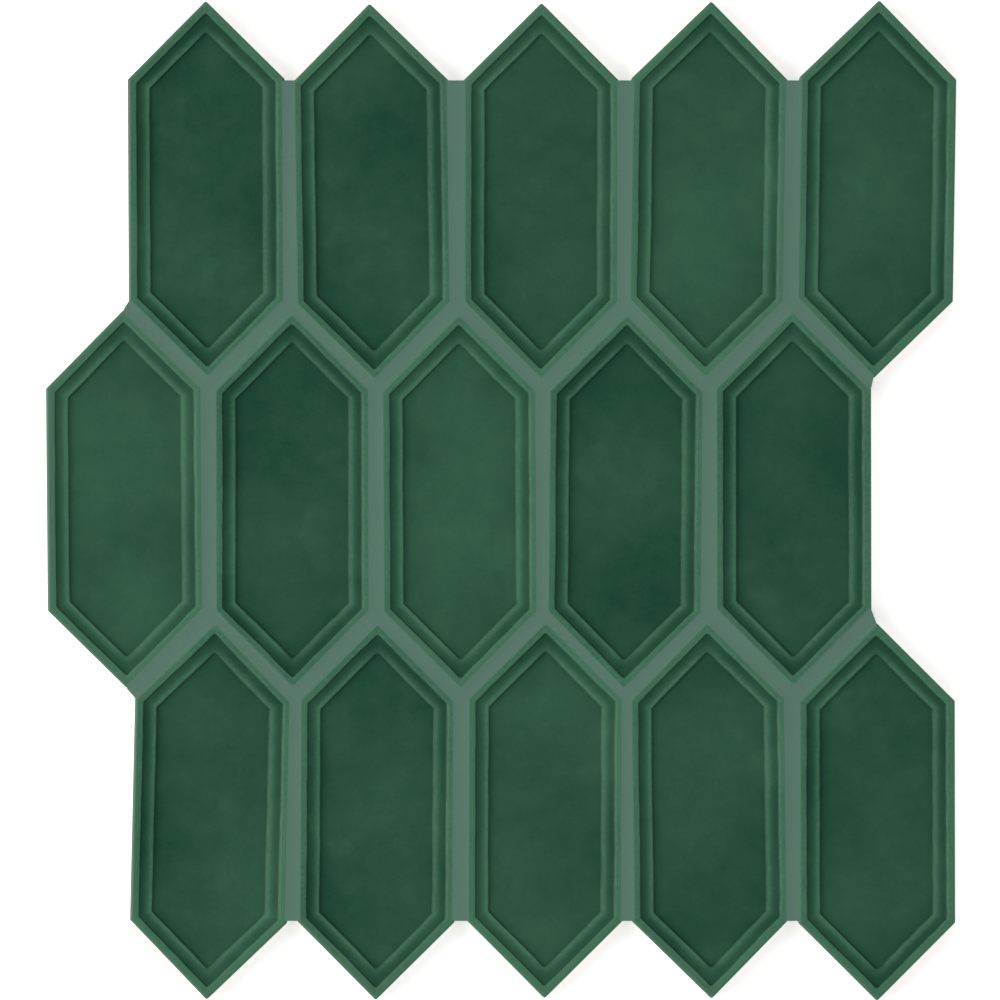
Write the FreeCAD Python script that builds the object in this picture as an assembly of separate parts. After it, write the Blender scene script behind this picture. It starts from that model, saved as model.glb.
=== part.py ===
import FreeCAD, Part
import os
from math import floor, radians, sin, sqrt, tan

from FreeCAD import Matrix, Placement, Rotation, Vector

os.makedirs("parts", exist_ok=True)

# A mosaic sheet of picket tiles: long hexagons with pointed ends, laid in rows that interlock by
# half a tile, with filled joints and an open scrim glued across the backs.
# Millimetres, +Y along the tiles, +X across them, the glazed faces up.

# Layout of the sheet
ROWS = 3
COLUMNS = 5
JOINT_WIDTH = 3.2  # square across every joint, straight or sloping, where the tiles lie evenly

# Uneven laying, row by row: how far each tile lies to the right and upwards, and its turn in degrees
LAY = [
    [(-0.3, 0.2, 0.3), (-0.9, -0.6, 0.8), (-0.4, -0.4, -0.1), (-0.5, 0.1, -0.9), (-0.3, 0.4, -0.9)],
    [(0.4, 0.5, 0.5), (0.3, 0.0, 0.1), (0.3, -0.3, 0.3), (-0.2, -0.4, -0.5), (-0.2, 0.5, 0.1)],
    [(1.0, 0.0, -1.3), (0.5, -0.1, -0.3), (0.8, 0.4, -0.2), (-0.2, 0.3, 0.7), (-0.2, -0.4, 0.1)],
]

# Body of one tile
TILE_WIDTH = 47.8  # between the two long straight sides
TILE_LENGTH = 115.4  # from point to point
TILE_THICKNESS = 8.0
POINT_ANGLE = 90.0  # between the two sloping sides of a point, in degrees
ARRIS_RADIUS = 0.8  # outer edge of the glazed rim
BACK_CHAMFER = 0.5

# Pressed relief of the face, as widths from the tile's edge inwards and depths below the rim
RIM_WIDTH = 2.45
RIM_WALL_WIDTH = 0.5
LEDGE_WIDTH = 3.4  # from the foot of the rim's wall to the crest above the panel
PANEL_WALL_WIDTH = 0.65
COVE_DEPTH = 0.9  # of the ledge where it meets the rim's wall
CREST_DEPTH = 1.0  # of the ledge where it drops to the panel
PANEL_DEPTH = 1.9
RIM_EDGE_RADIUS = 0.35
COVE_RADIUS = 0.5
CREST_RADIUS = 0.35
PANEL_FILLET = 0.5
PRESS_ALLOWANCE = 1.0  # how far the die reaches past the tile, above and beside it

# Keying grooves pressed into the back
GROOVE_COUNT = 4
GROOVE_WIDTH = 3.2
GROOVE_PITCH = 9.0
GROOVE_DEPTH = 0.7
GROOVE_MARGIN = 4.0  # plain border between the grooves and the tile's edge

# Joint filling
GROUT_RECESS = 0.1  # its flat face lies this far below the rims
GROUT_END_SETBACK = 0.2  # its straight ends lie this far inside the outer shoulders

# Backing scrim: flat threads in two layers, the lengthwise ones underneath
THREAD_WIDTH = 0.9
THREAD_THICKNESS = 0.35
THREAD_PITCH = 6.35
SCRIM_MARGIN = 3.0  # it stops this far inside the sides and shoulders of the outer tiles

# Worked out from the sizes above
HALF_POINT = radians(POINT_ANGLE / 2)
POINT_RISE = TILE_WIDTH / 2 / tan(HALF_POINT)
STRAIGHT_SIDE = TILE_LENGTH - 2 * POINT_RISE
COLUMN_PITCH = TILE_WIDTH + JOINT_WIDTH
ROW_PITCH = TILE_LENGTH - POINT_RISE + JOINT_WIDTH / sin(HALF_POINT) - JOINT_WIDTH / 2 / tan(HALF_POINT)
ROW_SHIFT = COLUMN_PITCH / 4  # odd rows go right by this much, even rows left
TILE_BACK = 2 * THREAD_THICKNESS
ARRIS_BEVEL = ARRIS_RADIUS * (2 - sqrt(2))  # the flat slope that just touches the rounded arris
COVE_INSET = RIM_WIDTH + RIM_WALL_WIDTH
CREST_INSET = COVE_INSET + LEDGE_WIDTH
PANEL_INSET = CREST_INSET + PANEL_WALL_WIDTH
RELIEF_REACH = PANEL_INSET + 2 * PANEL_FILLET


def picket_corners(inset=0.0):
    """Corners of the picket outline moved inwards, anticlockwise from the upper point."""
    half_width = TILE_WIDTH / 2 - inset
    tip = TILE_LENGTH / 2 - inset / sin(HALF_POINT)
    shoulder = tip - half_width / tan(HALF_POINT)
    return [
        Vector(0, tip, 0),
        Vector(-half_width, shoulder, 0),
        Vector(-half_width, -shoulder, 0),
        Vector(0, -tip, 0),
        Vector(half_width, -shoulder, 0),
        Vector(half_width, shoulder, 0),
    ]


def prism(corners, base, height):
    """Upright block over a closed plan outline."""
    block = Part.Face(Part.makePolygon(corners + corners[:1])).extrude(Vector(0, 0, height))
    block.translate(Vector(0, 0, base))
    return block


def rounded_line(points, radii):
    """Edges through the points, with a tangent arc at each inner one."""
    edges = []
    start = points[0]
    for before, corner, after, radius in zip(points, points[1:], points[2:], radii):
        back = (before - corner).normalize()
        ahead = (after - corner).normalize()
        half_turn = back.getAngle(ahead) / 2
        setback = radius / tan(half_turn)
        arc_start = corner + back * setback
        arc_end = corner + ahead * setback
        arc_middle = corner + (back + ahead).normalize() * (radius / sin(half_turn) - radius)
        edges.append(Part.makeLine(start, arc_start))
        edges.append(Part.Arc(arc_start, arc_middle, arc_end).toShape())
        start = arc_end
    edges.append(Part.makeLine(start, points[-1]))
    return edges


def face_section():
    """Space above the face beside one side: x is the inset from that side, y the height above the rim."""
    outer = Vector(0, -2 * ARRIS_RADIUS, 0)
    inner = Vector(RELIEF_REACH, -PANEL_DEPTH, 0)
    path = [
        outer,
        Vector(0, 0, 0),
        Vector(RIM_WIDTH, 0, 0),
        Vector(COVE_INSET, -COVE_DEPTH, 0),
        Vector(CREST_INSET, -CREST_DEPTH, 0),
        Vector(PANEL_INSET, -PANEL_DEPTH, 0),
        inner,
    ]
    edges = rounded_line(path, [ARRIS_RADIUS, RIM_EDGE_RADIUS, COVE_RADIUS, CREST_RADIUS, PANEL_FILLET])
    lid = [
        inner,
        Vector(RELIEF_REACH, PRESS_ALLOWANCE, 0),
        Vector(-PRESS_ALLOWANCE, PRESS_ALLOWANCE, 0),
        Vector(-PRESS_ALLOWANCE, outer.y, 0),
        outer,
    ]
    edges += [Part.makeLine(start, end) for start, end in zip(lid, lid[1:])]
    return Part.Face(Part.Wire(edges))


def mitred_run(section, start, end, inner_start, inner_end):
    """The section carried along one side of the tile and mitred against its two neighbours."""
    along = end - start
    onwards = Vector(along).normalize()
    inwards = Vector(0, 0, 1).cross(onwards)
    edge = start + inwards * PRESS_ALLOWANCE
    placed = section.copy()
    placed.Placement = Placement(
        Matrix(
            inwards.x, 0, onwards.x, edge.x,
            inwards.y, 0, onwards.y, edge.y,
            0, 1, 0, TILE_THICKNESS,
            0, 0, 0, 1,
        )
    )
    mitre = prism([start, end, inner_end, inner_start], 0, 2 * TILE_THICKNESS)
    return placed.extrude(along).common(mitre)


def press_die():
    """Everything above the finished face: six mitred runs of relief round a flat panel."""
    section = face_section()
    outer = picket_corners(-PRESS_ALLOWANCE)
    inner = picket_corners((RELIEF_REACH + TILE_WIDTH / 2) / 2)
    sides = zip(outer, outer[1:] + outer[:1], inner, inner[1:] + inner[:1])
    runs = [mitred_run(section, *side) for side in sides]
    panel_level = TILE_THICKNESS - PANEL_DEPTH
    panel = prism(picket_corners(RELIEF_REACH), panel_level, PANEL_DEPTH + PRESS_ALLOWANCE)
    return panel.fuse(runs).removeSplitter()


def back_grooves():
    """Lengthwise keying grooves that stop short of the tile's edge."""
    field = prism(picket_corners(GROOVE_MARGIN), 0, GROOVE_DEPTH)
    grooves = []
    for place in range(GROOVE_COUNT):
        middle = (place - (GROOVE_COUNT - 1) / 2) * GROOVE_PITCH
        corner = Vector(middle - GROOVE_WIDTH / 2, -TILE_LENGTH / 2, 0)
        grooves.append(Part.makeBox(GROOVE_WIDTH, TILE_LENGTH, GROOVE_DEPTH, corner))
    return field.common(Part.makeCompound(grooves))


def make_tile():
    """One finished tile with its back at height 0."""
    blank = prism(picket_corners(), 0, TILE_THICKNESS + PRESS_ALLOWANCE / 2)
    lower_edges = [edge for edge in blank.Edges if edge.BoundBox.ZMax < BACK_CHAMFER]
    blank = blank.makeChamfer(BACK_CHAMFER, lower_edges)
    return blank.cut(press_die()).cut(back_grooves()).removeSplitter().Solids[0]


def tile_centre(row, column):
    """Plan position of a tile; row 1 is the upper one and column 1 the left one."""
    shift = ROW_SHIFT if row % 2 else -ROW_SHIFT
    across = (column - (COLUMNS + 1) / 2) * COLUMN_PITCH + shift
    return Vector(across, ((ROWS + 1) / 2 - row) * ROW_PITCH, 0)


def tile_place(row, column):
    """Where a tile really lies, for anything drawn round its own centre."""
    right, up, turn = LAY[(row - 1) % len(LAY)][(column - 1) % len(LAY[0])]
    return Placement(tile_centre(row, column) + Vector(right, up, 0), Rotation(Vector(0, 0, 1), turn))


def tile_numbers():
    return [(row, column) for row in range(1, ROWS + 1) for column in range(1, COLUMNS + 1)]


def sheet_middle():
    """Plan middle of the box round all the tiles, which goes to the origin."""
    places = [tile_place(*number) for number in tile_numbers()]
    corners = [place.multVec(corner) for place in places for corner in picket_corners()]
    across = [corner.x for corner in corners]
    along = [corner.y for corner in corners]
    return Vector((min(across) + max(across)) / 2, (min(along) + max(along)) / 2, 0)


def end_cuts(column, side):
    """Outline of the joint filling down one end of the rows, on side -1 or 1, from the top row down."""
    tip, foot = picket_corners()[0], picket_corners()[3]
    upper = Vector(side * TILE_WIDTH / 2, STRAIGHT_SIDE / 2, 0)
    lower = Vector(upper.x, -upper.y, 0)
    end_level = Vector(0, upper.y - GROUT_END_SETBACK, 0)
    outline = [tile_centre(1, column) + end_level]
    for row in range(1, ROWS + 1):
        place = tile_place(row, column)
        stands_out = (row % 2 == 1) == (side > 0)
        if row > 1:
            outline.append(place.multVec(tip if stands_out else upper))
        outline.append(place.Base)
        if row < ROWS:
            outline.append(place.multVec(foot if stands_out else lower))
    outline.append(tile_centre(ROWS, column) - end_level)
    return outline


def grout_pocket():
    """Room for one tile in the joint filling, which laps over the tile's rounded arris."""
    pocket = prism(picket_corners(), 0, TILE_THICKNESS)
    upper_edges = [edge for edge in pocket.Edges if edge.BoundBox.ZMin > TILE_THICKNESS / 2]
    return pocket.makeChamfer(ARRIS_BEVEL, upper_edges)


def make_grout():
    """The joint filling as one web, cut off straight between the outer tiles' corners."""
    right = end_cuts(COLUMNS, 1)
    left = end_cuts(1, -1)
    slab = prism(right + left[::-1], 0, TILE_THICKNESS - GROUT_RECESS)
    pocket = grout_pocket()
    pockets = [pocket.transformed(tile_place(*number).toMatrix()) for number in tile_numbers()]
    return slab.cut(pockets).Solids[0]


def scrim_fields():
    """Rectangles that the scrim covers, each as its low corner and its high corner."""
    straight = Vector(TILE_WIDTH / 2 - SCRIM_MARGIN, STRAIGHT_SIDE / 2, 0)
    rows = []
    for row in range(1, ROWS + 1):
        rows.append((tile_centre(row, 1) - straight, tile_centre(row, COLUMNS) + straight))
    low = Vector(max(field[0].x for field in rows), rows[-1][0].y + SCRIM_MARGIN, 0)
    high = Vector(min(field[1].x for field in rows), rows[0][1].y - SCRIM_MARGIN, 0)
    rows[0][1].y = high.y
    rows[-1][0].y = low.y
    return rows + [(low, high)]


def joined_stretches(stretches):
    """Stretches that overlap, run together."""
    joined = []
    for low, high in sorted(stretches):
        if joined and low <= joined[-1][1]:
            joined[-1][1] = max(joined[-1][1], high)
        else:
            joined.append([low, high])
    return joined


def thread_places(low, high, offset):
    """Places of the threads between two edges, a whole thread at each."""
    first = floor(low / THREAD_PITCH) - 1
    last = floor(high / THREAD_PITCH) + 1
    places = [(step + offset) * THREAD_PITCH for step in range(first, last + 1)]
    return [place for place in places if low + THREAD_WIDTH / 2 <= place <= high - THREAD_WIDTH / 2]


def lengthwise_threads():
    """Lower layer of the scrim, with a thread under the sheet's middle."""
    fields = scrim_fields()
    threads = []
    left = min(low.x for low, high in fields)
    right = max(high.x for low, high in fields)
    for place in thread_places(left, right, 0):
        held = [
            (low.y, high.y)
            for low, high in fields
            if low.x + THREAD_WIDTH / 2 <= place <= high.x - THREAD_WIDTH / 2
        ]
        for start, end in joined_stretches(held):
            corner = Vector(place - THREAD_WIDTH / 2, start, 0)
            threads.append(Part.makeBox(THREAD_WIDTH, end - start, THREAD_THICKNESS, corner))
    return Part.makeCompound(threads)


def crosswise_threads():
    """Upper layer of the scrim, glued to the tiles' backs."""
    fields = scrim_fields()
    threads = []
    bottom = min(low.y for low, high in fields)
    top = max(high.y for low, high in fields)
    for place in thread_places(bottom, top, 0.5):
        held = [
            (low.x, high.x)
            for low, high in fields
            if low.y + THREAD_WIDTH / 2 <= place <= high.y - THREAD_WIDTH / 2
        ]
        for start, end in joined_stretches(held):
            corner = Vector(start, place - THREAD_WIDTH / 2, THREAD_THICKNESS)
            threads.append(Part.makeBox(end - start, THREAD_WIDTH, THREAD_THICKNESS, corner))
    return Part.makeCompound(threads)


to_middle = sheet_middle() * -1
to_place = to_middle + Vector(0, 0, TILE_BACK)
tile = make_tile()
for row, column in tile_numbers():
    laid = tile.transformed(tile_place(row, column).toMatrix())
    laid.translated(to_place).exportStep(f"parts/picket_tile_r{row}_c{column}.step")
make_grout().translated(to_place).exportStep("parts/joint_grout.step")
lengthwise_threads().translated(to_middle).exportStep("parts/scrim_lengthwise_threads.step")
crosswise_threads().translated(to_middle).exportStep("parts/scrim_crosswise_threads.step")
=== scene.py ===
from math import cos, pi, radians, sin, sqrt, tan

import bmesh
import bpy
import numpy as np
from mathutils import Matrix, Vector
from mathutils.geometry import delaunay_2d_cdt


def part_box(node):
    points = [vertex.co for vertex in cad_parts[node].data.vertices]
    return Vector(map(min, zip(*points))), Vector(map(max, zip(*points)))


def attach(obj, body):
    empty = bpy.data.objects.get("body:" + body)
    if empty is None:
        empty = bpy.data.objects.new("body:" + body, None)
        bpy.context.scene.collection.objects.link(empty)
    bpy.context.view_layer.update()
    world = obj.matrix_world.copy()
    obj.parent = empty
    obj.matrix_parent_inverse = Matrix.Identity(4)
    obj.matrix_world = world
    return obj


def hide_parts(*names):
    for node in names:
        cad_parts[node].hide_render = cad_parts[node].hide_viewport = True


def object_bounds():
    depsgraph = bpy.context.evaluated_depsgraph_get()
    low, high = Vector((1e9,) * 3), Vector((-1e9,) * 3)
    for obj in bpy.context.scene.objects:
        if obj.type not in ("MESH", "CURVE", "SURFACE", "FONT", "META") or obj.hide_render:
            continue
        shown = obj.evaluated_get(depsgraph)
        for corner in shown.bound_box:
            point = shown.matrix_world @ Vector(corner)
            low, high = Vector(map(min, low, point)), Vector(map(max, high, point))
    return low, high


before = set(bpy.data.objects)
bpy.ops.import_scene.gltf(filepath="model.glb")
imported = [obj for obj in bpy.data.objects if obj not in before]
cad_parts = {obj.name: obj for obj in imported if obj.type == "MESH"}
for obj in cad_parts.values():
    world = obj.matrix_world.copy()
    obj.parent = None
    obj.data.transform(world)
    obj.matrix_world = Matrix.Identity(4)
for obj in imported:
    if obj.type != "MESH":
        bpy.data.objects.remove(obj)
cad_low, cad_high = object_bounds()

MM = 0.001
SEED = 15

# Sizes of a tile, with the relief's lines within 0.35 mm of the solids', where glaze builds up
HALF_POINT = radians(45)
RIM_WIDTH = 2.68 * MM
RIM_WALL_WIDTH = 0.08 * MM
LEDGE_WIDTH = 3.9 * MM
PANEL_WALL_WIDTH = 0.1 * MM
RIM_FALL = 0.13 * MM  # how far the rim sinks towards its wall
RIM_FALL_START = 1.9 * MM  # inset from which it sinks
COVE_DEPTH = 0.68 * MM
CREST_DEPTH = 1.0 * MM
PANEL_DEPTH = 1.9 * MM
ARRIS_RADIUS = 0.8 * MM
RIM_EDGE_RADIUS = 0.08 * MM
COVE_RADIUS = 0.12 * MM
CREST_RADIUS = 0.1 * MM
PANEL_FILLET = 0.12 * MM
POOL_WIDTH = 3.2 * MM  # how far the glaze that pools at the panel's foot reaches
POOL_RISE = 0.12 * MM
FACE_SPACING = 0.4 * MM  # widest gap between the points of the section
RING_SPACING = 1.3 * MM  # between the points along a side
PANEL_RINGS = 12  # between the pooled glaze and the middle
MIDDLE_WIDTH = 2.4 * MM  # of the strip inside the last ring
BACK_CHAMFER = 0.5 * MM
GROOVE_COUNT = 4
GROOVE_WIDTH = 3.2 * MM
GROOVE_PITCH = 9.0 * MM
GROOVE_DEPTH = 0.7 * MM
GROOVE_MARGIN = 4.0 * MM

# What firing and glazing add to the solids
CORNER_RADIUS = 0.7 * MM  # of the outline in plan
PANEL_CORNER_RADIUS = 0.9 * MM  # of the panel's outline in plan
MIDDLE_CORNER_RADIUS = 0.3 * MM
WANDER = 0.14 * MM  # how far the relief's lines stray sideways
WANDER_LENGTH = 26 * MM
SWELL = 0.05 * MM  # how far the panel rises and sinks
SWELL_LENGTH = 34 * MM
SWELL_START = 4 * MM  # it grows to its full height over this much of the panel
SHRINK = 0.04 * MM  # how far the face lies lower than pressed, give or take as much
SHRINK_LENGTH = 18 * MM
GLAZE_STRAY = 0.12 * MM  # how far the edges of thin glaze stray
GLAZE_STRAY_LENGTH = 7 * MM
POINT_POOL = 0.55  # how much less thin the glaze is on the crest's two points
POINT_POOL_WIDTH = 3 * MM

# Joint filling
GROUT_LAP = 0.74 * MM  # how far it covers the rounded arris
GROUT_DISH = 0.08 * MM  # how far it sinks in the middle of a joint
GROUT_DISH_REACH = 0.5 * MM  # how soon it sinks beside a tile
GROUT_ROUGHNESS = 0.03 * MM
GROUT_GRAIN = 1.0 * MM  # spacing of the points in its surface
GROUT_JITTER = 0.3  # how far those points stray, as a share of their spacing
GROUT_CLEARANCE = 0.35 * MM  # between those points and a tile

# Scrim
YARN_SIDES = 8
YARN_STEP = 2.1 * MM
YARN_STRAY = 0.22 * MM  # sideways
YARN_THINNING = 0.12  # share of its width that a yarn may lose, give or take as much

# Colours, each as a darker and a lighter one
GLAZE_COLOURS = ((0.0050, 0.0480, 0.0240, 1), (0.048, 0.142, 0.083, 1))  # thick and thin
BODY_COLOURS = ((0.50, 0.42, 0.33, 1), (0.66, 0.58, 0.48, 1))
GROUT_COLOURS = ((0.075, 0.154, 0.115, 1), (0.090, 0.175, 0.135, 1))
SCRIM_COLOURS = ((0.66, 0.67, 0.62, 1), (0.86, 0.87, 0.84, 1))
FLOOR_COLOURS = ((0.89, 0.89, 0.89, 1), (0.91, 0.91, 0.91, 1))

# Photograph
FRAME_WIDTH = 304.6 * MM  # what the photograph's width takes in at the level of the rims
PHOTO_MIDDLE = (-0.34 * MM, 0.2 * MM)
LENS = 400.0
SENSOR = 36.0

COVE_INSET = RIM_WIDTH + RIM_WALL_WIDTH
CREST_INSET = COVE_INSET + LEDGE_WIDTH
PANEL_INSET = CREST_INSET + PANEL_WALL_WIDTH
RELIEF_REACH = PANEL_INSET + POOL_WIDTH


# Plan outlines

def rounded_line(points, radii, steps):
    """Points along a line through the given ones, turned by a tangent arc at each inner one."""
    line = [np.array(points[0], float)]
    for before, corner, after, radius in zip(points, points[1:], points[2:], radii):
        before, corner, after = (np.array(point, float) for point in (before, corner, after))
        back = (before - corner) / np.linalg.norm(before - corner)
        ahead = (after - corner) / np.linalg.norm(after - corner)
        half_turn = np.arccos(np.clip(back @ ahead, -1, 1)) / 2
        centre = corner + (back + ahead) / np.linalg.norm(back + ahead) * radius / sin(half_turn)
        start = corner + back * radius / tan(half_turn) - centre
        end = corner + ahead * radius / tan(half_turn) - centre
        sweep = pi - 2 * half_turn
        for share in np.linspace(0, 1, steps + 1):
            spoke = start * sin((1 - share) * sweep) + end * sin(share * sweep)
            line.append(centre + spoke / sin(sweep))
    line.append(np.array(points[-1], float))
    return np.array(line)


def picket_corners(width, length, inset=0.0):
    """Corners of a picket outline moved inwards, anticlockwise from the upper point."""
    half_width = width / 2 - inset
    tip = length / 2 - inset / sin(HALF_POINT)
    shoulder = tip - half_width / tan(HALF_POINT)
    return np.array([
        (0, tip),
        (-half_width, shoulder),
        (-half_width, -shoulder),
        (0, -tip),
        (half_width, -shoulder),
        (half_width, shoulder),
    ])


def picket_ring(width, length, inset, radius):
    """Points round a picket outline moved inwards and rounded, as many of them for every inset."""
    corners = picket_corners(width, length, inset)
    outline = picket_corners(width, length)
    sides = np.linalg.norm(np.roll(outline, -1, axis=0) - outline, axis=1)
    arcs = []
    for place, corner in enumerate(corners):
        before, after = corners[place - 1], corners[(place + 1) % 6]
        arcs.append(rounded_line([before, corner, after], [radius], 5)[1:-1])
    points = []
    for place, side in enumerate(sides):
        start, end = arcs[place][-1], arcs[(place + 1) % 6][0]
        count = int(round(side / RING_SPACING))
        shares = np.arange(1, count)[:, None] / count
        points += [arcs[place], start + (end - start) * shares]
    return np.vstack(points)


def waves(x, y, seed, size, count=5):
    """Smooth unevenness between about -1 and 1, its swells about as long as the size."""
    rng = np.random.default_rng(seed)
    total = np.zeros_like(x)
    for angle, phase, stretch in rng.uniform(0, 1, (count, 3)):
        rate = 2 * pi / size * (0.6 + 0.8 * stretch)
        total += np.sin((x * cos(2 * pi * angle) + y * sin(2 * pi * angle)) * rate + 2 * pi * phase)
    return total / count


class Lay:
    """Where a tile lies on the sheet and how big it is, read from its solid."""

    def __init__(self, node):
        points = np.array([vertex.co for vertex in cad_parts[node].data.vertices])
        upper, lower = points[points[:, 1].argmax(), :2], points[points[:, 1].argmin(), :2]
        self.node = node
        self.row, self.column = (int(part[1:]) for part in node.split("_")[-2:])
        self.centre = (upper + lower) / 2
        self.along = (upper - lower) / np.linalg.norm(upper - lower)
        self.across = np.array((self.along[1], -self.along[0]))
        self.length = np.linalg.norm(upper - lower)
        self.width = 2 * np.abs((points[:, :2] - self.centre) @ self.across).max()
        self.base = points[:, 2].min()
        self.thickness = points[:, 2].max() - self.base

    def placed(self, plan):
        """Points round the tile's own centre, moved to where the tile lies."""
        plan = np.asarray(plan)
        return self.centre + plan[:, :1] * self.across + plan[:, 1:2] * self.along


def make_object(name, verts, faces, material, sharp_from=35):
    mesh = bpy.data.meshes.new(name)
    mesh.from_pydata(np.asarray(verts).tolist(), [], [list(map(int, face)) for face in faces])
    mesh.update()
    mesh.shade_smooth()
    mesh.set_sharp_from_angle(angle=radians(sharp_from))
    mesh.materials.append(material)
    piece = bpy.data.objects.new(name, mesh)
    bpy.context.scene.collection.objects.link(piece)
    return piece


def add_attribute(piece, name, values):
    attribute = piece.data.attributes.new(name, "FLOAT", "POINT")
    attribute.data.foreach_set("value", np.asarray(values, dtype=np.float32))


def finish_piece(piece, node):
    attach(piece, "root")
    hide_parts(node)


# Tiles

def face_section():
    """The finished face from the outer edge to the flat panel: insets and heights above the rim."""
    line = [
        (0, -2 * ARRIS_RADIUS),
        (0, 0),
        (RIM_FALL_START, 0),
        (RIM_WIDTH, -RIM_FALL),
        (COVE_INSET, -COVE_DEPTH),
        (CREST_INSET, -CREST_DEPTH),
        (PANEL_INSET, -PANEL_DEPTH),
        (RELIEF_REACH, -PANEL_DEPTH),
    ]
    radii = [
        ARRIS_RADIUS,
        RIM_WIDTH - RIM_FALL_START,
        RIM_EDGE_RADIUS,
        COVE_RADIUS,
        CREST_RADIUS,
        PANEL_FILLET,
    ]
    line = rounded_line(line, radii, 4)
    section = [line[:1]]
    for start, end in zip(line, line[1:]):
        count = max(int(np.ceil((end[0] - start[0]) / FACE_SPACING)), 1)
        section.append(start + (end - start) * np.arange(1, count + 1)[:, None] / count)
    section = np.vstack(section)
    pooled = np.clip((RELIEF_REACH - section[:, 0]) / POOL_WIDTH, 0, 1) ** 2
    on_panel = np.clip((section[:, 0] - CREST_INSET) / PANEL_WALL_WIDTH, 0, 1)
    section[:, 1] += POOL_RISE * pooled * on_panel
    return section


def tile_section(lay):
    """Insets, heights and corner radii in plan, from the back's edge to the panel's middle."""
    face = face_section()
    panel = np.linspace(RELIEF_REACH, (lay.width - MIDDLE_WIDTH) / 2, PANEL_RINGS + 1)[1:]
    insets = np.concatenate([[BACK_CHAMFER, 0, 0], face[:, 0], panel])
    heights = np.concatenate([
        [0, BACK_CHAMFER, lay.thickness / 2],
        lay.thickness + face[:, 1],
        np.full(len(panel), lay.thickness - PANEL_DEPTH),
    ])
    places = [COVE_INSET, PANEL_INSET, RELIEF_REACH, insets[-1]]
    radii = [CORNER_RADIUS, PANEL_CORNER_RADIUS, PANEL_CORNER_RADIUS, MIDDLE_CORNER_RADIUS]
    return insets, heights, np.interp(insets, places, radii)


def glaze_thinness(inset, across):
    """How thin the glaze has run: about 1 on edges, 0 in hollows, and less at the crest's points."""
    stops = [  # inset in millimetres and thinness
        (0.0, 0.90), (0.5, 1.10), (0.8, 1.10), (1.2, 0.86), (1.7, 0.84), (2.2, 0.98), (2.55, 0.85),
        (2.75, 0.15), (3.2, 0.12), (4.0, 0.14), (4.6, 0.26), (5.2, 0.46), (5.7, 0.68), (6.1, 0.92),
        (6.4, 0.76), (6.7, 0.30), (6.9, 0.08), (7.6, 0.14), (9.6, 0.20), (15.0, 0.23),
    ]
    on_ledge = (inset > RIM_WIDTH) & (inset < PANEL_INSET)
    pooled = POINT_POOL * np.exp(-(across / POINT_POOL_WIDTH) ** 2) * on_ledge
    return np.interp(inset / MM, *zip(*stops)) * (1 - pooled)


def fired_rings(lay, seed):
    """Rings of points from the back's edge to the panel's middle, and each point's inset."""
    reaches = [ARRIS_RADIUS, RIM_WIDTH, RELIEF_REACH, 2 * RELIEF_REACH]
    rings = []
    insets = []
    for inset, height, radius in zip(*tile_section(lay)):
        ring = picket_ring(lay.width, lay.length, inset, radius)
        x, y = ring.T
        inwards = (picket_ring(lay.width, lay.length, inset + MM, radius) - ring) / MM
        stray = WANDER * np.interp(inset, reaches, [0, 1, 1, 0]) * waves(x, y, seed, WANDER_LENGTH)
        moved = ring + inwards * stray[:, None]
        rings.append(np.column_stack([moved, np.full(len(ring), height)]))
        insets.append(inset + GLAZE_STRAY * waves(x, y, seed + 50, GLAZE_STRAY_LENGTH))
    return np.array(rings), np.array(insets)


def settle_face(rings, insets, seed):
    """Lets the panel swell and the face shrink by a little, here more and there less."""
    x, y = rings[..., 0], rings[..., 1]
    on_panel = np.clip((insets - PANEL_INSET) / SWELL_START, 0, 1)
    on_face = insets > RIM_WIDTH / 2
    rings[..., 2] += SWELL * on_panel * waves(x, y, seed + 90, SWELL_LENGTH)
    rings[..., 2] -= SHRINK * on_face * (1 + waves(x, y, seed + 70, SHRINK_LENGTH))


def ring_faces(count, around):
    """Faces between the rings, and one across the last of them."""
    faces = []
    for first in range(0, (count - 1) * around, around):
        for step in range(around):
            after = (step + 1) % around
            faces.append((first + step, first + after, first + around + after, first + around + step))
    faces.append(range((count - 1) * around, count * around))
    return faces


def make_tile(lay, number, material):
    """A tile with its pressed relief, keying grooves and glaze, uneven as fired ware is."""
    seed = SEED * 100 + number
    rings, insets = fired_rings(lay, seed)
    settle_face(rings, insets, seed)
    front = rings.reshape(-1, 3)
    back, back_faces = back_face(lay, rings[0][:, :2])
    faces = ring_faces(*insets.shape)
    faces += [[len(front) + corner for corner in face] for face in back_faces]
    thinness = glaze_thinness(insets.ravel(), front[:, 0])
    verts = np.vstack([front, back])
    placed = np.column_stack([lay.placed(verts[:, :2]), verts[:, 2] + lay.base])
    tile = make_object(lay.node.replace("picket_tile", "glazed_picket"), placed, faces, material)
    add_attribute(tile, "glaze_thinness", np.concatenate([thinness, np.zeros(len(back))]))
    add_attribute(tile, "glaze_reach", (verts[:, 2] - lay.thickness) / MM)
    add_attribute(tile, "tile_number", np.full(len(verts), float(number)))
    add_attribute(tile, "tile_shade", np.full(len(verts), np.random.default_rng(seed).uniform(-1, 1)))
    finish_piece(tile, lay.node)


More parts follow.
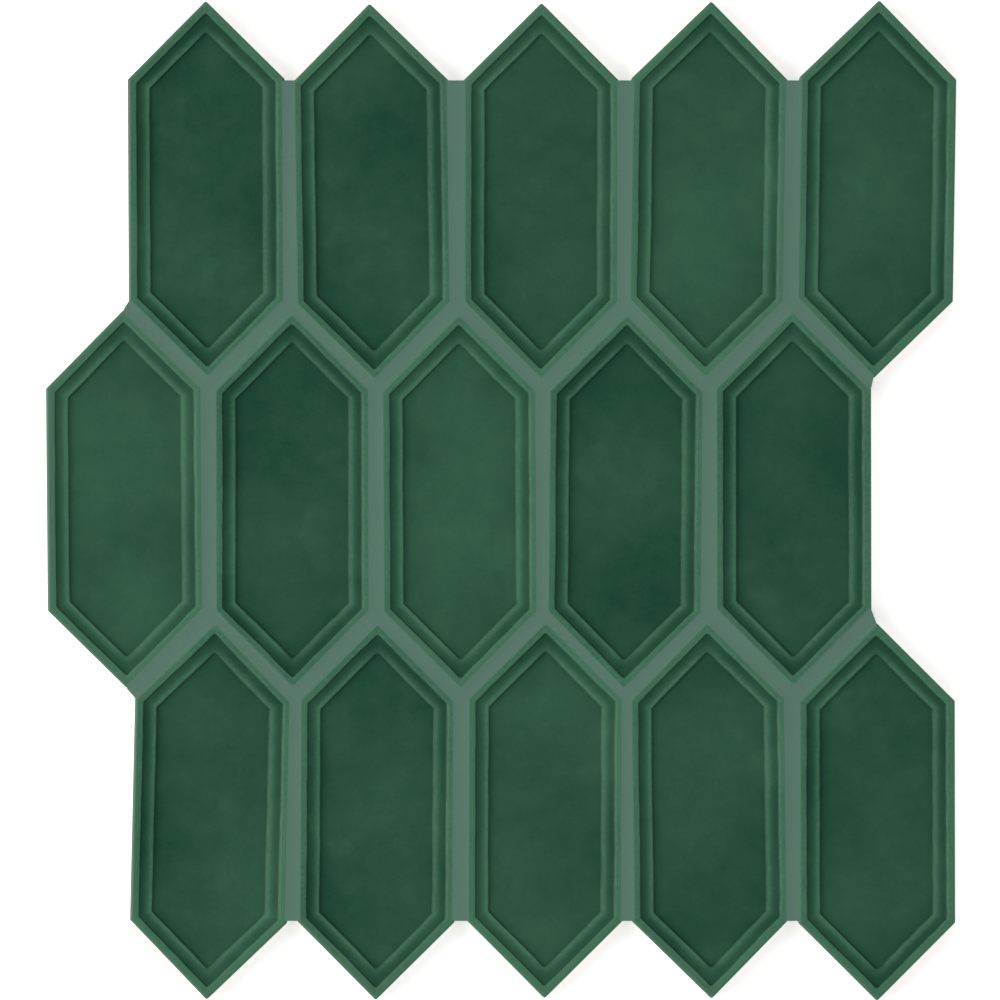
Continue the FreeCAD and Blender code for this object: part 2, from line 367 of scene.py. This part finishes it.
def back_face(lay, outline):
    """The back inside its chamfer, with the lengthwise keying grooves pressed in."""
    tip = picket_corners(lay.width, lay.length, GROOVE_MARGIN)[0][1]
    points = [Vector(point) for point in outline]
    loops = [list(range(len(outline)))]
    for place in range(GROOVE_COUNT):
        middle = (place - (GROOVE_COUNT - 1) / 2) * GROOVE_PITCH
        left, right = middle - GROOVE_WIDTH / 2, middle + GROOVE_WIDTH / 2
        left_end, right_end = (tip - abs(x) / tan(HALF_POINT) for x in (left, right))
        loops.append(list(range(len(points), len(points) + 4)))
        corners = [(left, -left_end), (right, -right_end), (right, right_end), (left, left_end)]
        points += [Vector(corner) for corner in corners]
    flat, _, triangles, *_ = delaunay_2d_cdt(points, [], loops, 1, 1e-7)
    flat = np.array(flat)
    middles = np.array([flat[list(triangle)].mean(axis=0) for triangle in triangles])
    grooves = [np.array([points[corner] for corner in loop]) for loop in loops[1:]]
    open_ground = ~np.any([inside(middles, groove) for groove in grooves], axis=0)
    verts = [(x, y, 0.0) for x, y in flat]
    faces = [tuple(reversed(triangle)) for triangle, kept in zip(triangles, open_ground) if kept]
    for groove in grooves:
        start = len(verts)
        verts += [(x, y, height) for height in (0.0, GROOVE_DEPTH) for x, y in groove]
        for a, b in ((0, 1), (1, 2), (2, 3), (3, 0)):
            faces.append((start + a, start + b, start + b + 4, start + a + 4))
        faces.append((start + 7, start + 6, start + 5, start + 4))
    return np.array(verts), faces


def inside(points, loop):
    """Which of the points lie inside a closed outline."""
    within = np.zeros(len(points), bool)
    for (x0, y0), (x1, y1) in zip(loop, np.roll(loop, -1, axis=0)):
        spans = (y0 > points[:, 1]) != (y1 > points[:, 1])
        crossing = x0 + (points[:, 1] - y0) * (x1 - x0) / (y1 - y0 if y1 != y0 else 1)
        within ^= spans & (points[:, 0] < crossing)
    return within


# Joint filling

def web_outline(lays):
    """Outline of the joint filling: straight ends, and cuts between the outer tiles' corners."""
    rows = max(lay.row for lay in lays)
    sides = []
    for side, column in ((1, max(lay.column for lay in lays)), (-1, 1)):
        outline = []
        for row in range(1, rows + 1):
            lay = next(lay for lay in lays if (lay.row, lay.column) == (row, column))
            corners = lay.placed(picket_corners(lay.width, lay.length))
            stands_out = (row % 2 == 1) == (side > 0)
            upper = corners[0] if stands_out else corners[5 if side > 0 else 1]
            lower = corners[3] if stands_out else corners[4 if side > 0 else 2]
            outline += [upper, lay.centre, lower]
        sides.append(outline)
    web_low, web_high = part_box("joint_grout")
    for outline in sides:
        outline[0] = (outline[1][0], web_high[1])
        outline[-1] = (outline[-2][0], web_low[1])
    return np.array(sides[0] + sides[1][::-1])


def joint_distance(points, lays):
    """How far each point is from the nearest tile, negative inside one."""
    nearest = np.full(len(points), 1.0)
    for lay in lays:
        across = np.abs((points - lay.centre) @ lay.across)
        along = np.abs((points - lay.centre) @ lay.along)
        slope = across * cos(HALF_POINT) + (along - lay.length / 2) * sin(HALF_POINT)
        nearest = np.minimum(nearest, np.maximum(across - lay.width / 2, slope))
    return nearest


def grout_plan(lays):
    """Points of the filling's face, the same points lower down beside the tiles, and triangles."""
    rng = np.random.default_rng(SEED)
    outline = web_outline(lays)
    lapped = [lay.placed(picket_ring(lay.width, lay.length, GROUT_LAP, CORNER_RADIUS)) for lay in lays]
    beside = [lay.placed(picket_ring(lay.width, lay.length, 0, CORNER_RADIUS)) for lay in lays]
    low, high = outline.min(axis=0), outline.max(axis=0)
    across, along = (np.arange(low[axis], high[axis], GROUT_GRAIN) for axis in (0, 1))
    grid = np.stack(np.meshgrid(across, along), -1).reshape(-1, 2)
    grid = grid + rng.uniform(-GROUT_JITTER, GROUT_JITTER, grid.shape) * GROUT_GRAIN
    grid = grid[(joint_distance(grid, lays) > GROUT_CLEARANCE) & inside(grid, outline)]
    points = [Vector(point) for point in np.vstack([outline, *lapped, grid])]
    loops = [list(range(len(outline)))]
    for ring in lapped:
        start = loops[-1][-1] + 1
        loops.append(list(range(start, start + len(ring))))
    flat, _, triangles, origins, *_ = delaunay_2d_cdt(points, [], loops, 1, 1e-7)
    flat = np.array(flat)
    triangles = np.array([list(triangle) for triangle in triangles])
    middles = flat[triangles].mean(axis=1)
    on_tile = np.any([inside(middles, ring) for ring in lapped], axis=0)
    triangles = triangles[inside(middles, outline) & ~on_tile]
    lower = flat.copy()
    straight = np.vstack([outline, *beside, grid])
    for place, sources in enumerate(origins):
        if sources:
            lower[place] = straight[sources[0]]
    return flat, lower, triangles.tolist()


def web_faces(triangles, count):
    """Faces of a web whose points lie at three levels, as many at each, with the triangles on top."""
    faces = list(triangles)
    faces += [[2 * count + corner for corner in triangle[::-1]] for triangle in triangles]
    edges = set()
    for a, b, c in triangles:
        edges |= {(a, b), (b, c), (c, a)}
    for a, b in edges:
        if (b, a) not in edges:
            faces.append((a, a + count, b + count, b))
            faces.append((a + count, a + 2 * count, b + 2 * count, b + count))
    return faces


def make_grout(lays, material):
    """Joint filling struck off almost level with the rims, lapping over the tiles' arrises."""
    flat, lower, triangles = grout_plan(lays)
    top = lays[0].base + lays[0].thickness
    lap_drop = ARRIS_RADIUS - sqrt(ARRIS_RADIUS ** 2 - (ARRIS_RADIUS - GROUT_LAP) ** 2)
    room = joint_distance(flat, lays) + GROUT_LAP
    dish = GROUT_DISH * (1 - np.exp(-np.clip(room, 0, None) / GROUT_DISH_REACH))
    rough = GROUT_ROUGHNESS * (1 + waves(flat[:, 0], flat[:, 1], SEED, 5 * MM))
    rough = rough * np.clip(room / MM, 0, 1)
    upper = np.column_stack([flat, top - lap_drop - dish - rough])
    middle = np.column_stack([lower, np.full(len(flat), top - ARRIS_RADIUS)])
    bottom = np.column_stack([lower, np.full(len(flat), lays[0].base)])
    faces = web_faces(triangles, len(flat))
    verts, faces = drop_loose(np.vstack([upper, middle, bottom]), faces)
    grout = make_object("joint_filling", verts, faces, material, 40)
    finish_piece(grout, "joint_grout")


def drop_loose(verts, faces):
    """The same faces without the points that none of them uses."""
    used = np.unique(np.concatenate([np.array(face) for face in faces]))
    place = np.full(len(verts), -1)
    place[used] = np.arange(len(used))
    return verts[used], [[place[corner] for corner in face] for face in faces]


# Scrim

def solid_blocks(node):
    """Lowest and highest corners of each separate block of a node."""
    work = bmesh.new()
    work.from_mesh(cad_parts[node].data)
    bmesh.ops.remove_doubles(work, verts=work.verts, dist=1e-6)
    blocks = []
    waiting = set(work.verts)
    while waiting:
        reached = [waiting.pop()]
        for vert in reached:
            for edge in vert.link_edges:
                other = edge.other_vert(vert)
                if other in waiting:
                    waiting.remove(other)
                    reached.append(other)
        corners = np.array([vert.co for vert in reached])
        blocks.append((corners.min(axis=0), corners.max(axis=0)))
    work.free()
    return sorted(blocks, key=lambda block: tuple(block[0]))


def make_threads(node, name, axis, material):
    """Flat glass-fibre yarns that stray a little between their crossings, in place of straight bars."""
    verts = []
    faces = []
    side = 1 - axis
    half_step = pi / YARN_SIDES
    for number, (low, high) in enumerate(solid_blocks(node)):
        middle = (low + high) / 2
        half = (high - low) / 2
        count = max(3, int((high[axis] - low[axis]) / YARN_STEP))
        stations = np.linspace(low[axis], high[axis], count)
        stray = YARN_STRAY * waves(stations, 0 * stations, SEED + number + 500 * axis, 40 * MM)
        thinning = YARN_THINNING * (1 + waves(stations, 0 * stations, SEED + number + 900, 9 * MM))
        start = len(verts)
        for angle in np.arange(YARN_SIDES) * 2 * half_step + half_step:
            reach = cos(angle) / cos(half_step) * half[side] * (1 - thinning)
            points = np.zeros((count, 3))
            points[:, axis] = stations
            points[:, side] = middle[side] + stray + reach
            points[:, 2] = middle[2] + sin(angle) / cos(half_step) * half[2] * 0.98
            verts += points.tolist()
        for step in range(YARN_SIDES):
            a, b = start + step * count, start + (step + 1) % YARN_SIDES * count
            faces += [(a + k, a + k + 1, b + k + 1, b + k) for k in range(count - 1)]
        faces.append([start + step * count for step in range(YARN_SIDES)])
        faces.append([start + step * count + count - 1 for step in reversed(range(YARN_SIDES))])
    if axis == 0:
        faces = [list(reversed(face)) for face in faces]
    yarns = make_object(name, verts, faces, material, 70)
    finish_piece(yarns, node)


# Materials

class Nodes:
    """A short way to wire a material."""

    def __init__(self, name):
        self.material = bpy.data.materials.new(name)
        self.material.use_nodes = True
        self.tree = self.material.node_tree
        self.shader = self.tree.nodes["Principled BSDF"]
        self.place = self.add("ShaderNodeTexCoord").outputs["Object"]

    def add(self, kind, inputs=None, **settings):
        node = self.tree.nodes.new(kind)
        for key, value in settings.items():
            setattr(node, key, value)
        for key, value in (inputs or {}).items():
            self.feed(node.inputs[key], value)
        return node

    def feed(self, socket, value):
        if isinstance(value, bpy.types.NodeSocket):
            self.tree.links.new(value, socket)
        else:
            socket.default_value = value

    def attribute(self, name):
        return self.add("ShaderNodeAttribute", attribute_name=name).outputs["Fac"]

    def math(self, operation, first, second):
        return self.add("ShaderNodeMath", {0: first, 1: second}, operation=operation).outputs[0]

    def spread(self, value, low, high, to_low=0.0, to_high=1.0):
        """A value between two limits, stretched to two others."""
        inputs = {
            "Value": value,
            "From Min": low,
            "From Max": high,
            "To Min": to_low,
            "To Max": to_high,
        }
        return self.add("ShaderNodeMapRange", inputs, clamp=True).outputs["Result"]

    def noise(self, place, size, detail=2.0, roughness=0.5):
        """Noise whose grains are about a size across, 0 to 1."""
        inputs = {"Vector": place, "Scale": 1 / size, "Detail": detail, "Roughness": roughness}
        return self.add("ShaderNodeTexNoise", inputs).outputs["Fac"]

    def mix(self, share, first, second):
        node = self.add("ShaderNodeMix", data_type="RGBA")
        self.feed(node.inputs["Factor"], share)
        self.feed(node.inputs["A"], first)
        self.feed(node.inputs["B"], second)
        return node.outputs["Result"]

    def bump(self, height, strength, distance, below=None):
        inputs = {"Height": height, "Strength": strength, "Distance": distance}
        if below is not None:
            inputs["Normal"] = below
        return self.add("ShaderNodeBump", inputs).outputs[0]


def glaze_material():
    """Dark green glaze, lighter where thin, over a buff body that is bare below and behind."""
    nodes = Nodes("green_glaze")
    number = nodes.attribute("tile_number")
    sideways = nodes.math("MULTIPLY", number, 0.37)
    shift = nodes.add("ShaderNodeCombineXYZ", {"X": number, "Y": sideways}).outputs[0]
    own = nodes.add("ShaderNodeVectorMath", {0: nodes.place, 1: shift}, operation="ADD").outputs[0]
    cloud = nodes.noise(own, 42 * MM, 1.0)
    # painted reflection: this noise makes lighter patches on the glaze that stand in for soft
    # reflections
    painted_sheen = nodes.noise(own, 17 * MM, 2.0)
    mottle = nodes.noise(own, 7 * MM, 3.0)
    fine = nodes.noise(own, 0.9 * MM, 2.0)
    thin = nodes.attribute("glaze_thinness")
    for unevenness in (
        nodes.math("MULTIPLY", nodes.attribute("tile_shade"), 0.10),
        nodes.spread(cloud, 0.3, 0.7, -0.13, 0.13),
        # painted reflection: lighter patches where that noise passes its threshold
        nodes.spread(painted_sheen, 0.60, 0.67, 0.0, 0.08),
        nodes.spread(mottle, 0.3, 0.7, -0.035, 0.035),
        nodes.math("MULTIPLY", nodes.spread(fine, 0.3, 0.7, -0.16, 0.16), thin),
    ):
        thin = nodes.math("ADD", thin, unevenness)
    thin = nodes.math("MAXIMUM", thin, 0.0)
    glaze = nodes.mix(thin, *GLAZE_COLOURS)
    body = nodes.mix(nodes.noise(own, 0.7 * MM, 4.0), *BODY_COLOURS)
    run = nodes.spread(nodes.noise(own, 3 * MM, 3.0), 0.2, 0.8, -0.9, 0.9)
    glazed = nodes.spread(nodes.math("ADD", nodes.attribute("glaze_reach"), run), -4.6, -4.3)
    nodes.feed(nodes.shader.inputs["Base Color"], nodes.mix(glazed, body, glaze))
    gloss = nodes.spread(mottle, 0.3, 0.7, 0.28, 0.36)
    bare = nodes.math("MULTIPLY", nodes.math("SUBTRACT", 1.0, glazed), 0.65)
    nodes.feed(nodes.shader.inputs["Roughness"], nodes.math("ADD", gloss, bare))
    nodes.shader.inputs["IOR"].default_value = 1.5
    nodes.shader.inputs["Specular IOR Level"].default_value = 0.22
    peel = nodes.bump(nodes.noise(own, 2.6 * MM, 2.0), 0.10, 0.2 * MM)
    nodes.feed(nodes.shader.inputs["Normal"], nodes.bump(fine, 0.12, 0.1 * MM, peel))
    return nodes.material


def grout_material():
    nodes = Nodes("grey_green_grout")
    sand = nodes.noise(nodes.place, 0.35 * MM, 3.0, 0.6)
    patch = nodes.noise(nodes.place, 22 * MM, 2.0)
    grains = nodes.spread(sand, 0.3, 0.7, -0.25, 0.25)
    tone = nodes.math("ADD", grains, nodes.spread(patch, 0.3, 0.7, 0.35, 0.65))
    nodes.feed(nodes.shader.inputs["Base Color"], nodes.mix(tone, *GROUT_COLOURS))
    nodes.shader.inputs["Roughness"].default_value = 0.92
    nodes.shader.inputs["Specular IOR Level"].default_value = 0.2
    nodes.feed(nodes.shader.inputs["Normal"], nodes.bump(sand, 0.35, 0.12 * MM))
    return nodes.material


def scrim_material():
    nodes = Nodes("scrim_fibre")
    fibres = nodes.noise(nodes.place, 0.25 * MM, 3.0)
    nodes.feed(nodes.shader.inputs["Base Color"], nodes.mix(fibres, *SCRIM_COLOURS))
    nodes.shader.inputs["Roughness"].default_value = 0.7
    nodes.feed(nodes.shader.inputs["Normal"], nodes.bump(fibres, 0.5, 0.1 * MM))
    return nodes.material


def floor_material():
    nodes = Nodes("pale_floor")
    tone = nodes.noise(nodes.place, 0.4, 2.0)
    nodes.feed(nodes.shader.inputs["Base Color"], nodes.mix(tone, *FLOOR_COLOURS))
    nodes.shader.inputs["Roughness"].default_value = 0.9
    nodes.shader.inputs["Specular IOR Level"].default_value = 0.1
    nodes.shader.inputs["Emission Color"].default_value = (1, 1, 1, 1)
    nodes.shader.inputs["Emission Strength"].default_value = 0.45
    return nodes.material


# Stage

def add_floor():
    bpy.ops.mesh.primitive_plane_add(size=40, location=(0, 0, cad_low.z))
    floor = bpy.context.object
    floor.name = "floor"
    floor.data.materials.append(floor_material())


def add_light(name, place, size, power):
    """A round soft light aimed at the sheet."""
    data = bpy.data.lights.new(name, "AREA")
    data.shape = "DISK"
    data.size = size
    data.energy = power
    light = bpy.data.objects.new(name, data)
    light.location = place
    light.rotation_euler = (-Vector(place)).to_track_quat("-Z", "Y").to_euler()
    bpy.context.scene.collection.objects.link(light)


def add_world(strength):
    world = bpy.data.worlds.new("studio")
    world.use_nodes = True
    background = world.node_tree.nodes["Background"]
    background.inputs["Color"].default_value = (1, 1, 1, 1)
    background.inputs["Strength"].default_value = strength
    bpy.context.scene.world = world


def add_camera():
    data = bpy.data.cameras.new("camera")
    data.lens = LENS
    data.sensor_width = SENSOR
    camera = bpy.data.objects.new("camera", data)
    camera.location = (*PHOTO_MIDDLE, cad_high.z + FRAME_WIDTH * LENS / SENSOR)
    bpy.context.scene.collection.objects.link(camera)
    bpy.context.scene.camera = camera


lays = [Lay(name) for name in sorted(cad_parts) if name.startswith("picket_tile")]
glaze = glaze_material()
for number, lay in enumerate(lays):
    make_tile(lay, number, glaze)
make_grout(lays, grout_material())
scrim = scrim_material()
make_threads("scrim_lengthwise_threads", "lengthwise_yarns", 1, scrim)
make_threads("scrim_crosswise_threads", "crosswise_yarns", 0, scrim)

add_floor()
add_light("key", (-3.4, 0.1, 1.7), 3.2, 115)
add_light("upper", (-2.2, 0.0, 3.2), 2.4, 31)
add_light("fill", (2.8, 0.0, 2.2), 2.4, 12)
add_light("far_side", (0.2, 2.6, 3.1), 2.4, 33)
add_light("near_side", (0.2, -2.6, 3.1), 2.4, 33)
add_world(0.28)
bpy.context.scene.view_settings.view_transform = "Standard"
add_camera()
